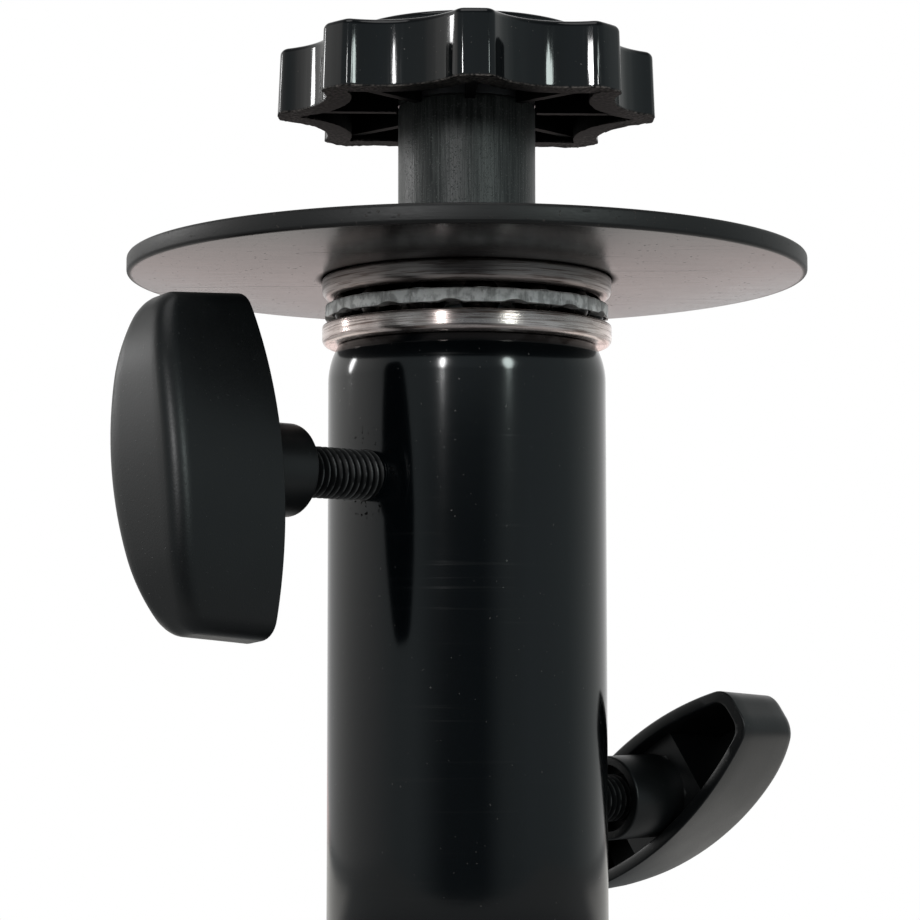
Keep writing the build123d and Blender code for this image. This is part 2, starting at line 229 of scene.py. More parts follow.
def carve(piece, tool, operation="DIFFERENCE"):
    """Cut a solid away from a piece, add it or keep what both share, and use the solid up."""
    changed(piece, "BOOLEAN", operation=operation, object=tool, solver="EXACT", use_self=True)
    bpy.data.objects.remove(tool)


def placed(piece, matrix):
    """Move a piece from its own drawing place to its place on the head."""
    only(piece)
    piece.matrix_world = matrix
    bpy.ops.object.transform_apply()


def done(piece, node, finish, angle=35):
    """Shade a piece, give it its finish and let it stand for its CAD node."""
    only(piece)
    bpy.ops.object.shade_smooth_by_angle(angle=radians(angle))
    piece.data.materials.clear()
    piece.data.materials.append(finish)
    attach(piece, BODIES[node])
    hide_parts(node)


# Finishes


class Wire:
    """A node's output. Arithmetic between wires and numbers adds Math nodes."""

    def __init__(self, wiring, socket):
        self.wiring = wiring
        self.socket = socket

    def __add__(self, other):
        return self.wiring.math("ADD", self, other)

    def __sub__(self, other):
        return self.wiring.math("SUBTRACT", self, other)

    def __rsub__(self, other):
        return self.wiring.math("SUBTRACT", other, self)

    def __mul__(self, other):
        return self.wiring.math("MULTIPLY", self, other)

    def __truediv__(self, other):
        return self.wiring.math("DIVIDE", self, other)

    def __pow__(self, other):
        return self.wiring.math("POWER", self, other)

    __radd__ = __add__

    def step(self, low, high):
        """Go smoothly from 0 to 1 as the value goes from low to high."""
        inputs = {"Value": self, "From Min": low, "From Max": high}
        return self.wiring.node("ShaderNodeMapRange", inputs, interpolation_type="SMOOTHSTEP")


def from_axis(a, b):
    """Distance from an axis, given the two distances across it."""
    return (a * a + b * b) ** 0.5


class Wiring:
    """A node tree, filled through wires."""

    def __init__(self, tree):
        self.nodes = tree.nodes
        self.links = tree.links
        self.nodes.clear()

    def feed(self, socket, value):
        """Give a socket a wire, a colour or a number."""
        if isinstance(value, Wire):
            self.links.new(value.socket, socket)
        elif socket.type == "RGBA":
            socket.default_value = (*value, 1)
        else:
            socket.default_value = value

    def node(self, kind, inputs=(), output=0, **settings):
        """Add a node: its settings first, then its inputs, each a number, a tuple or a wire."""
        made = self.nodes.new(kind)
        for key, value in settings.items():
            setattr(made, key, value)
        for key, value in dict(inputs).items():
            self.feed(made.inputs[key], value)
        return Wire(self, made.outputs[output])

    def math(self, operation, first, second=0.0):
        """Work on one or two values, each a number or a wire."""
        return self.node("ShaderNodeMath", {0: first, 1: second}, operation=operation)

    def mix(self, share, first, second):
        """Blend two colours."""
        return self.node("ShaderNodeMix", {0: share, 6: first, 7: second}, output=2, data_type="RGBA")

    def seen_by(self, kind):
        """1 for rays of a kind, such as Camera or Glossy."""
        return self.node("ShaderNodeLightPath", output=f"Is {kind} Ray")


class Finish(Wiring):
    """A procedural material in object coordinates."""

    def __init__(self, name, **constants):
        self.material = bpy.data.materials.new(name)
        self.material.use_nodes = True
        super().__init__(self.material.node_tree)
        self.shader = self.nodes.new("ShaderNodeBsdfPrincipled")
        self.surface = self.nodes.new("ShaderNodeOutputMaterial").inputs["Surface"]
        self.links.new(self.shader.outputs[0], self.surface)
        self.material.diffuse_color = (0.05, 0.05, 0.05, 1)
        for key, value in constants.items():
            self.set(key.replace("_", " "), value)
        self.place = self.node("ShaderNodeTexCoord", output="Object")

    def set(self, socket, value):
        """Feed one of the shader's own inputs."""
        self.feed(self.shader.inputs[socket], value)

    def patch(self, share, colour, **constants):
        """Lay a second shader over the first where the share is 1."""
        inputs = {"Base Color": colour, **{key.replace("_", " "): value for key, value in constants.items()}}
        second = self.node("ShaderNodeBsdfPrincipled", inputs)
        first = Wire(self, self.shader.outputs[0])
        self.feed(self.surface, self.node("ShaderNodeMixShader", {0: share, 1: first, 2: second}))

    def axes(self):
        """The three object coordinates, in metres."""
        split = self.node("ShaderNodeSeparateXYZ", {0: self.place})
        return [Wire(self, socket) for socket in split.socket.node.outputs]

    def noise(self, size, detail, place=None, stretch=(1, 1, 1)):
        """Noise from 0 to 1 whose features are about a size in mm, longer along an axis by its stretch."""
        inputs = {0: place or self.place, 1: [1 / s for s in stretch]}
        scaled = self.node("ShaderNodeVectorMath", inputs, operation="MULTIPLY")
        return self.node("ShaderNodeTexNoise", {"Vector": scaled, "Scale": 1 / (size * MM), "Detail": detail})

    def bump(self, height, depth):
        """Raise the surface by a height wire, whose full swing is a depth in mm."""
        self.set("Normal", self.node("ShaderNodeBump", {"Distance": depth * MM, "Height": height}))


def enamel(settings, holes):
    """Gloss black enamel on the sleeve: orange peel, cloudy gloss, fine rubbed lines, dust and chips at the holes."""
    f = Finish("gloss_enamel")
    x, y, z = f.axes()
    cloud = f.noise(16, 3)
    lines = f.noise(0.5, 2, stretch=(60, 60, 1)).step(0.62, 0.75)
    dust = f.noise(0.45, 0).step(0.84, 0.87)
    chips = 0.0
    for side, height in holes.items():
        away = from_axis(y, z - height * MM)
        chips = (1.0 - away.step(5.5 * MM, 8.5 * MM)) * (x * side).step(0, 4 * MM) + chips
    chips = chips * f.noise(0.9, 2).step(0.62, 0.68)
    f.set("Base Color", f.mix(dust * 0.2 + lines * 0.01, settings.enamel_colour, (0.16, 0.15, 0.14)))
    f.set("Roughness", 0.09 + cloud * 0.06 + lines * 0.05 + dust * 0.2)
    f.bump(f.noise(2.2, 1) + f.noise(0.4, 1, stretch=(40, 40, 1)) * 0.1, 0.004)
    f.patch(chips, (0.003, 0.003, 0.003), Roughness=0.8, Specular_IOR_Level=0.0)
    return f.material


def plate_paint(settings):
    """Satin black paint over rolled sheet: a grain along the rolling, scratches and specks, and painted shade round
    the bearing.
    """
    f = Finish("satin_plate_paint")
    turn = {"Vector": f.place, "Axis": (0, 0, 1), "Angle": radians(44)}
    rolled = f.node("ShaderNodeVectorRotate", turn, rotation_type="AXIS_ANGLE")
    grain = f.noise(0.28, 4, place=rolled, stretch=(30, 1, 1))
    scratch = f.noise(0.6, 1, place=rolled, stretch=(45, 1, 1)).step(0.70, 0.78)
    dust = f.noise(0.6, 0).step(0.79, 0.82)
    x, y, z = f.axes()
    radius = from_axis(x, y)
    edge = radius.step(54.0 * MM, 54.6 * MM)
    inner = 1.0 - radius.step(34 * MM, 54 * MM)
    f.set("Base Color", f.mix(grain * 0.06 + dust * 0.4, settings.plate_colour, (0.060, 0.050, 0.046)))
    f.set("Roughness", 0.10 + grain * 0.14 + scratch * 0.1 + dust * 0.2 + edge * 0.3 + inner * 0.05)
    f.bump(grain + scratch * 0.8 + dust * 2.0, 0.020)
    low, _ = cad_levels("support_plate")
    # Painted shade: a dull patch with no reflection on the plate's underside round the bearing
    painted_shade_ring = (1.0 - radius.step(23.4 * MM, 25 * MM)) * (1.0 - z.step((low + 0.5) * MM, (low + 1.5) * MM))
    f.patch(painted_shade_ring, settings.plate_colour, Roughness=0.6, Specular_IOR_Level=0.0)
    return f.material


def post_paint(settings):
    """Matt blackened tube with the lines of drawing along it and bright pinholes."""
    f = Finish("matt_post_paint")
    drawn = f.noise(0.30, 4, stretch=(1, 1, 30))
    blotch = f.noise(3.0, 3, stretch=(1, 1, 2))
    speck = f.noise(0.28, 1).step(0.60, 0.74)
    light = drawn.step(0.35, 0.70) * 0.35 + blotch * 0.10 + speck * 0.5
    f.set("Base Color", f.mix(light, settings.post_colour, (0.110, 0.122, 0.116)))
    f.set("Roughness", 0.28 + drawn * 0.16 + blotch * 0.14)
    f.bump(drawn + speck * 0.8, 0.06)
    return f.material


def ground_steel(name, colour, roughness):
    """Ground bearing steel: fine rings from grinding, brown stain and dirt."""
    f = Finish(name, Metallic=1.0, Anisotropic=0.85, Anisotropic_Rotation=0.25)
    x, y, z = f.axes()
    section = f.node("ShaderNodeCombineXYZ", {"X": from_axis(x, y), "Z": z})
    rings = f.noise(0.26, 3, place=section)
    broken = f.noise(0.24, 4, stretch=(30, 30, 1))
    stain = f.noise(6, 3, stretch=(1, 1, 0.5))
    dark = [c * k for c, k in zip(colour, (0.30, 0.25, 0.23))]
    shade = stain.step(0.45, 0.80) * 0.35 + rings.step(0.44, 0.58) * 0.25 + broken.step(0.52, 0.60) * 0.55
    f.set("Base Color", f.mix(shade, colour, dark))
    f.set("Roughness", roughness + rings * 0.08 + stain * 0.05)
    f.bump(rings + broken, 0.030)
    return f.material


def cage_steel(settings):
    """Pressed zinc-grey sheet steel: fine upright drawing lines, grey patches and whitish scuffs."""
    f = Finish("pressed_cage_steel", Metallic=0.5)
    drawn = f.noise(0.20, 3, stretch=(1, 1, 14))
    patch = f.noise(1.8, 4)
    scuff = f.noise(0.9, 4, stretch=(1, 1, 2)).step(0.56, 0.72)
    tint = f.mix(patch.step(0.42, 0.62), settings.cage_colour, [c * 0.45 for c in settings.cage_colour])
    tint = f.mix(drawn.step(0.35, 0.8) * 0.5, tint, (0.84, 0.85, 0.84))
    f.set("Base Color", f.mix(scuff * 0.8, tint, (0.95, 0.96, 0.95)))
    f.set("Roughness", 0.34 + drawn * 0.2 + scuff * 0.12)
    f.bump(drawn + patch * 1.4 + scuff * 0.5, 0.03)
    return f.material


def ball_steel():
    """Ball steel painted nearly black as painted shade inside the bearing, a little mottled."""
    f = Finish("ball_steel_painted_dark", Metallic=1.0)
    # Painted shade: the balls' colour is nearly black so that the gap between the washers reads dark
    shade_mottle = f.noise(1.5, 2)
    f.set("Base Color", f.mix(shade_mottle, (0.045, 0.042, 0.040), (0.020, 0.019, 0.018)))
    f.set("Roughness", 0.22 + shade_mottle * 0.10)
    return f.material


def zinc_steel():
    """Zinc plated steel: mottled grey with turning lines."""
    f = Finish("zinc_plated_steel", Metallic=1.0)
    mottle = f.noise(2.5, 4)
    lines = f.noise(0.25, 2, stretch=(20, 20, 1))
    f.set("Base Color", f.mix(mottle, (0.52, 0.52, 0.53), (0.36, 0.36, 0.37)))
    f.set("Roughness", 0.28 + mottle * 0.15)
    f.bump(lines, 0.008)
    return f.material


def brass():
    """Plain turned brass, a little tarnished."""
    f = Finish("turned_brass", Metallic=1.0)
    tarnish = f.noise(2.0, 4)
    lines = f.noise(0.2, 2, stretch=(1, 15, 15))
    f.set("Base Color", f.mix(tarnish.step(0.35, 0.8), (0.66, 0.50, 0.24), (0.36, 0.25, 0.12)))
    f.set("Roughness", 0.25 + tarnish * 0.2)
    f.bump(lines, 0.006)
    return f.material


def knob_plastic(name, settings, low, hollow=None):
    """High-gloss moulded plastic with sink waves and fine drag lines, dull and black in its rough lower side."""
    f = Finish(name)
    x, y, z = f.axes()
    worn = f.noise(0.5, 4)
    drag = f.noise(0.8, 3, stretch=(1, 1, 30))
    under = 1.0 - z.step((low + 0.05) * MM, (low + 0.5) * MM)
    dust = f.noise(0.45, 0).step(0.82, 0.85)
    f.set("Base Color", f.mix(dust * 0.3, settings.knob_colour, (0.105, 0.094, 0.082)))
    f.set("Roughness", 0.05 + f.noise(9, 2) * 0.05 + drag.step(0.5, 0.8) * 0.06 + dust * 0.2)
    f.bump(f.noise(3.4, 1) * 0.6 + drag + worn * under * 4.0, 0.014)
    if hollow:
        away, depth, ceiling = hollow
        step = 2 * pi / settings.lobes
        angle = (f.math("ARCTAN2", y, x) - settings.turn) / step
        angle = (angle - f.math("FLOOR", angle) - 0.5) * step
        radius = from_axis(x, y)
        # Distance from the axis of the nearest flute, along which the hollow's wall runs
        distance = radius * radius - radius * f.math("COSINE", angle) * (2 * away * MM) + (away * MM) ** 2
        inside = (distance**0.5).step((depth - 0.4) * MM, (depth - 0.2) * MM)
        inside = inside * (1.0 - z.step((ceiling + 0.1) * MM, (ceiling + 0.4) * MM))
        tips = radius.step(22 * MM, 29 * MM)
        scuffed = worn.step(0.35, 0.75) * under * (0.1 + tips * 0.9)
        rough = f.mix(scuffed, (0.0012, 0.0012, 0.0012), (0.150, 0.135, 0.125))
        dull = inside + under - inside * under
        f.patch(dull, rough, Roughness=0.62, Specular_IOR_Level=0.12)
    return f.material


def wing_plastic(settings):
    """Satin moulded plastic with a fine spark-eroded grain, specks and rubbed patches."""
    f = Finish("satin_wing_plastic", Specular_IOR_Level=0.46)
    grain = f.noise(0.32, 2)
    flow = f.noise(7, 3)
    speck = f.noise(0.5, 1).step(0.72, 0.77)
    f.set("Base Color", f.mix(flow * 0.08 + speck * 0.25, settings.wing_colour, (0.026, 0.027, 0.028)))
    f.set("Roughness", 0.28 + grain * 0.10 + flow * 0.10)
    f.bump(grain + speck * 1.5, 0.014)
    return f.material


def black_screw(name, settings, height):
    """Blackened screw steel, rubbed bright on the crests of its thread, with painted shade between them."""
    f = Finish(name)
    _, y, z = f.axes()
    radius = from_axis(y, z - height * MM)
    rubbed = radius.step(3.84 * MM, 3.96 * MM) * f.noise(1.4, 3).step(0.36, 0.62)
    f.set("Base Color", f.mix(rubbed, settings.screw_colour, (0.14, 0.145, 0.145)))
    f.set("Metallic", 0.15 + rubbed * 0.7)
    f.set("Roughness", 0.42 - rubbed * 0.12 + f.noise(0.5, 2) * 0.1)
    f.bump(f.noise(0.3, 3), 0.01)
    # Painted shade in the thread's roots: a dull patch with almost no reflection
    root_shade = 0.9 - radius.step(3.45 * MM, 3.88 * MM) * 0.9
    f.patch(root_shade, settings.screw_colour, Roughness=0.7, Specular_IOR_Level=0.05)
    return f.material


# What a user may change


class SleeveSettings(bpy.types.PropertyGroup):
    diameter: FloatProperty(
        name="Diameter", description="Outer diameter of the sleeve", unit="LENGTH",
        default=cad_size("sleeve_tube", 1),
    )
    shoulder: FloatProperty(
        name="Shoulder", description="Height of the rounding below the bearing", unit="LENGTH", default=6 * MM,
    )
    enamel_colour: FloatVectorProperty(
        name="Enamel", description="Colour of the gloss enamel", subtype="COLOR", default=(0.0010, 0.0017, 0.0023),
    )


class TurntableSettings(bpy.types.PropertyGroup):
    diameter: FloatProperty(
        name="Plate Diameter", description="Diameter of the plate", unit="LENGTH",
        default=cad_size("support_plate", 0),
    )
    edge: FloatProperty(
        name="Plate Edge", description="Rounding of the plate's rim", unit="LENGTH", default=0.6 * MM,
    )
    plate_colour: FloatVectorProperty(
        name="Plate Paint", description="Colour of the plate's paint", subtype="COLOR",
        default=(0.0022, 0.0020, 0.0020),
    )
    post_colour: FloatVectorProperty(
        name="Post Paint", description="Colour of the post", subtype="COLOR", default=(0.0050, 0.0068, 0.0066),
    )


class BearingSettings(bpy.types.PropertyGroup):
    steel_colour: FloatVectorProperty(
        name="Steel", description="Colour of the two bearing washers", subtype="COLOR", default=(0.95, 0.83, 0.79),
    )
    cage_colour: FloatVectorProperty(
        name="Cage", description="Colour of the pressed cage", subtype="COLOR", default=(0.86, 0.87, 0.85),
    )
    cage_dents: FloatProperty(
        name="Cage Dents", description="Unevenness of the pressed cage", unit="LENGTH", default=0.16 * MM,
    )


class KnobSettings(bpy.types.PropertyGroup):
    lobes: IntProperty(name="Lobes", description="Number of lobes", default=8, min=3, max=16)
    lobe_round: FloatProperty(
        name="Lobe Rounding", description="Radius of a lobe's corners", unit="LENGTH", default=1.9 * MM,
    )
    edge: FloatProperty(
        name="Top Edge", description="Rounding of the top edge", unit="LENGTH", default=1.1 * MM,
    )
    flash: FloatProperty(
        name="Moulding Flash", description="Unevenness of the lower edge", unit="LENGTH", default=0.12 * MM,
    )
    turn: FloatProperty(
        name="Turn", description="How far the knob is turned at rest", subtype="ANGLE", default=radians(2.6),
    )
    knob_colour: FloatVectorProperty(
        name="Plastic", description="Colour of the knob", subtype="COLOR", default=(0.0012, 0.0017, 0.0022),
    )


class WingSettings(bpy.types.PropertyGroup):
    length: FloatProperty(
        name="Wing Length", description="Length of a wing", unit="LENGTH", default=52.5 * MM,
    )
    crease: FloatProperty(
        name="Crease", description="Rounding between a wing's face and flanks", unit="LENGTH", default=2.8 * MM,
    )
    pitch: FloatProperty(
        name="Thread Pitch", description="Distance between two turns of the thread", unit="LENGTH", default=1.25 * MM,
    )
    wing_colour: FloatVectorProperty(
        name="Wing Plastic", description="Colour of the wings", subtype="COLOR", default=(0.0016, 0.0023, 0.0027),
    )
    screw_colour: FloatVectorProperty(
        name="Screw", description="Colour of the blackened screws", subtype="COLOR", default=(0.004, 0.0045, 0.005),
    )


class StageSettings(bpy.types.PropertyGroup):
    floor_colour: FloatVectorProperty(
        name="Floor", description="Colour of the floor", subtype="COLOR", default=(0.85, 0.85, 0.85),
    )
    floor_glow: FloatVectorProperty(
        name="Floor Glow", description="Colour of the floor behind the head as gloss shows it", subtype="COLOR",
        default=(0.92, 0.79, 0.765),
    )
    lens: FloatProperty(name="Lens", description="Focal length of the camera in mm", default=98.9)
    distance: FloatProperty(
        name="Distance", description="Camera's distance from the sleeve's axis", unit="LENGTH", default=0.4082,
    )
    fill: FloatProperty(name="Fill", description="Strength of the even light from all round", default=0.45)


# Operators


def screw_place(reach, height, outward, tilt):
    """Place of a wing screw: Z outwards along the screw, X along the wing, origin at the hub's end."""
    z = Vector((outward, 0, 0))
    x = Vector((0, -sin(radians(tilt)), cos(radians(tilt))))
    y = z.cross(x)
    turn = Matrix((x, y, z)).transposed().to_4x4()
    return Matrix.Translation((outward * reach * MM, 0, height * MM)) @ turn


UPPER_SCREW = screw_place(38.0, 83.0, -1, -7.5)
LOWER_SCREW = screw_place(33.2, 30.9, 1, 54)


class SWIVEL_OT_sleeve(bpy.types.Operator):
    """Build the enamelled sleeve with its shoulder and tapped holes"""

    bl_idname = "swivel.sleeve"
    bl_label = "Sleeve"

    def execute(self, context):
        s = context.scene.swivel_sleeve
        radius, top = s.diameter / 2 / MM, cad_levels("sleeve_tube")[1]
        shoulder, inset, bore, seat = s.shoulder / MM, 1.6, 13.0, 17.0
        tapped, inside, outside = 4.05, 8, 30
        floor = cad_levels("end_plug")[0]
        bend = (shoulder**2 + inset**2) / (2 * inset)
        turns = [asin(shoulder / bend) * i / 10 for i in range(11)]
        curve = [(radius - bend * (1 - cos(a)), top - shoulder + bend * sin(a)) for a in turns]
        holes = {-1: UPPER_SCREW.translation.z / MM, 1: LOWER_SCREW.translation.z / MM}
        levels = sorted(h + d for h in holes.values() for d in (-5, 5))
        outer = [(radius, 0)] + [(radius, z) for z in levels] + curve
        inner = [(seat, top), (seat, floor), (bore, floor)] + [(bore, z) for z in reversed(levels)] + [(bore, 0)]
        sleeve = turned("sleeve", outer + inner)
        ease(sleeve, [(radius, 0), (bore, 0)], 0.8, 3)
        ease(sleeve, [curve[-1]], 0.3, 3)
        for side, height in holes.items():
            carve(sleeve, bar(tapped, inside, outside, (0, 0, height), (0, side * pi / 2, 0)))
        done(sleeve, "sleeve_tube", enamel(s, holes))
        return {"FINISHED"}


class SWIVEL_OT_turntable(bpy.types.Operator):
    """Build the round plate and the spacer post on it"""

    bl_idname = "swivel.turntable"
    bl_label = "Plate and Post"

    def execute(self, context):
        s = context.scene.swivel_turntable
        low, high = cad_levels("support_plate")
        radius, hole = s.diameter / 2 / MM, 5.3
        plate = turned("plate", [(hole, low), (radius, low), (radius, high), (hole, high)], segments=2 * ROUND)
        ease(plate, [(radius, low), (radius, high)], s.edge / MM)
        done(plate, "support_plate", plate_paint(s))
        low, high, radius = high, cad_levels("spacer_post")[1], cad_radius("spacer_post")
        post = turned("post", [(hole, low), (radius, low), (radius, high), (hole, high)])
        ease(post, [(radius, high), (hole, high)], 0.5, 3)
        done(post, "spacer_post", post_paint(s))
        return {"FINISHED"}


class SWIVEL_OT_bearing(bpy.types.Operator):
    """Build the bearing's two grooved washers and its pressed cage"""

    bl_idname = "swivel.bearing"
    bl_label = "Bearing"

    def execute(self, context):
        s = context.scene.swivel_bearing
        balls, ball, circle, scallop = 14, 3.175, 19.25, 4.0
        centre = sum(cad_levels("bearing_balls")) / 2
        track, outer = ball + 0.1, cad_radius("upper_bearing_washer")
        # Bore, side of the balls, rounding of the lower edge, roughness, and a scale on the colour for painted shade:
        # the upper washer is painted at half, as the plate shades it
        washers = {"lower": (16.0, -1, 1.0, 0.20, 1.0), "upper": (15.0, 1, 1.3, 0.24, 0.5)}
        for which, (bore, side, rounding, roughness, painted_shade_scale) in washers.items():
            node = which + "_bearing_washer"
            low, high = cad_levels(node)
            face, back = (high, low) if side < 0 else (low, high)
            reach = acos(abs(face - centre) / track)
            turns = [reach * (1 - i / 8) for i in range(17)]
            groove = [(circle + track * sin(a), centre + side * track * cos(a)) for a in turns]
            washer = turned(node + "_fine", [(bore, back), (outer, back), (outer, face)] + groove + [(bore, face)])
            ease(washer, [(outer, low)], rounding, 5)
            ease(washer, [(outer, high)], 0.4, 3)
            ease(washer, [(bore, low), (bore, high)], 0.3, 2)
            # Painted shade: the upper washer's steel colour is halved for the plate's shade above it
            colour = [c * painted_shade_scale for c in s.steel_colour]
            done(washer, node, ground_steel(node + "_steel", colour, roughness))
        low, high = cad_levels("ball_cage")
        reach, bore, middle, step = cad_radius("ball_cage"), 15.4, (low + high) / 2, 2 * pi / balls
        cage = turned("cage", [(bore, low), (reach, low), (reach, middle), (reach, high), (bore, high)])
        ease(cage, [(reach, high), (bore, high)], 0.5)
        ease(cage, [(reach, low)], 0.2, 2)
        pockets = [bar(ball + 0.15, low - 1, high + 1, (circle * cos(i * step), circle * sin(i * step), 0), sides=48)
                   for i in range(balls)]
        carve(cage, joined(pockets))
        scallops = [bar(scallop, 12, 26, (0, 0, low - 3.5), (0, pi / 2, (i + 0.5) * step), sides=72)
                    for i in range(balls)]
        carve(cage, joined(scallops))
        close(cage)
        clouds = bpy.data.textures.new("dents", "CLOUDS")
        clouds.noise_scale = 4 * MM
        dents = {"texture": clouds, "texture_coords": "LOCAL", "strength": -2 * s.cage_dents, "mid_level": 0.0}
        changed(cage, "DISPLACE", **dents)
        done(cage, "ball_cage", cage_steel(s))
        return {"FINISHED"}


class SWIVEL_OT_knob(bpy.types.Operator):
    """Build the hollow star knob and its raised cap"""

    bl_idname = "swivel.knob"
    bl_label = "Star Knob"

    def outline(self, name, arcs, start, lobes, height):
        """Draw one lobe's outline as a chain of arcs and copy it round the axis."""
        piece = point(name, (*start, height))
        for centre, angle, steps in arcs:
            place = (centre[0] * MM, centre[1] * MM, height * MM)
            bpy.ops.mesh.spin(steps=steps, angle=-angle, center=place, axis=(0, 0, 1))
        bpy.ops.mesh.select_all(action="SELECT")
        bpy.ops.mesh.spin(steps=lobes, dupli=True, angle=2 * pi, center=(0, 0, height * MM), axis=(0, 0, 1))
        bpy.ops.mesh.select_all(action="SELECT")
        bpy.ops.mesh.remove_doubles(threshold=0.005 * MM)
        bpy.ops.mesh.edge_face_add()
        return piece

    def raise_by(self, piece, low, high, scale=1.0):
        """Raise the outline to a solid, drawn in towards its top."""
        bpy.ops.mesh.extrude_region_move(TRANSFORM_OT_translate={"value": (0, 0, (high - low) * MM)})
        bpy.ops.transform.resize(value=(scale, scale, 1), center_override=(0, 0, high * MM))
        clean(piece)

    def execute(self, context):
        s = context.scene.swivel_knob
        low, high = cad_levels("star_knob")
        radius, lobes, corner, drawn_in = 30.8, s.lobes, s.lobe_round / MM, 0.377
        half, flute_bottom, wall, half_tip, half_rib = pi / lobes, radius - 5.0, 4.0, 2.8, 0.75
        beta = half - half_tip / radius
        rise = radius * cos(beta) - flute_bottom
        flute = (rise**2 + (radius * sin(beta)) ** 2) / (2 * rise)
        away = flute_bottom + flute
        flutes = [(away * cos(half), sign * away * sin(half)) for sign in (-1, 1)]
        # The corner's rounding touches the flute from outside and the lobe's tip from inside
        span = acos(((radius - corner) ** 2 + away**2 - (flute + corner) ** 2) / (2 * (radius - corner) * away))
        swing = acos(((flute + corner) ** 2 + away**2 - (radius - corner) ** 2) / (2 * (flute + corner) * away))
        side = half - span
        bends = [((radius - corner) * cos(side), sign * (radius - corner) * sin(side)) for sign in (-1, 1)]
        turn = pi / 2 - (pi / 2 - half - swing) - side
        start = (flute_bottom * cos(half), -flute_bottom * sin(half))
        arcs = [(flutes[0], -swing, 14), (bends[0], turn, 9), ((0, 0), 2 * side, 3), (bends[1], turn, 9),
                (flutes[1], -swing, 14)]
        knob = self.outline("star_knob_fine", arcs, start, lobes, low)
        self.raise_by(knob, low, high, 1 - drawn_in / radius)
        pick(knob, "EDGE", lambda e: all(v.co.z > (high - 0.01) * MM for v in e.verts))
        bpy.ops.mesh.bevel(offset=s.edge, segments=6, affect="EDGES")
        ceiling, insert_low, post = high - 3.6, cad_levels("knob_insert")[0], cad_radius("spacer_post")
        deeper = flute + wall
        cusp = away * cos(half) - sqrt(deeper**2 - (away * sin(half)) ** 2)
        reach = atan2(away * sin(half), away * cos(half) - cusp) - half
        hollow_start = ((flute_bottom - wall) * cos(half), -(flute_bottom - wall) * sin(half))
        arcs = [(flutes[0], -reach, 20), (flutes[1], -reach, 20)]
        hollow = self.outline("hollow", arcs, hollow_start, lobes, low - 1)
        self.raise_by(hollow, low - 1, ceiling)
        carve(knob, hollow)
        bore = cad_radius("knob_insert") + 0.02
        carve(knob, bar(post, insert_low, ceiling + 0.5), "UNION")
        ribs = []
        for i in range(lobes):
            for base, inner in ((low + 0.8, post + 0.3), (insert_low, bore)):
                end = (radius - wall / 2, half_rib, ceiling + 0.3)
                ribs.append(block((inner, -half_rib, base), end, 2 * half * i))
        carve(knob, joined(ribs), "UNION")
        carve(knob, bar(bore, insert_low - 1, high + 1))
        clean(knob)
        pick(knob, "EDGE", lambda e: all(v.co.z < (low + 0.02) * MM for v in e.verts))
        bpy.ops.transform.vertex_random(offset=s.flash, seed=4)
        close(knob)
        placed(knob, Matrix.Rotation(s.turn, 4, "Z"))
        done(knob, "star_knob", knob_plastic("gloss_knob_plastic", s, low, (away, deeper, ceiling)), 30)
        low, high = cad_levels("knob_cap")
        radius = cad_radius("knob_cap")
        cap = turned("knob_cap_fine", [(radius, high - 2.1), (radius, high)], solid=True)
        pick(cap, "FACE", lambda f: f.normal.z > 0.9)
        bpy.ops.mesh.inset(thickness=3.4 * MM, depth=0)
        bpy.ops.mesh.inset(thickness=0.8 * MM, depth=-0.35 * MM)
        ease(cap, [(radius, high)], 0.9, 6)
        done(cap, "knob_cap", knob_plastic("gloss_cap_plastic", s, low - 9), 30)
        return {"FINISHED"}


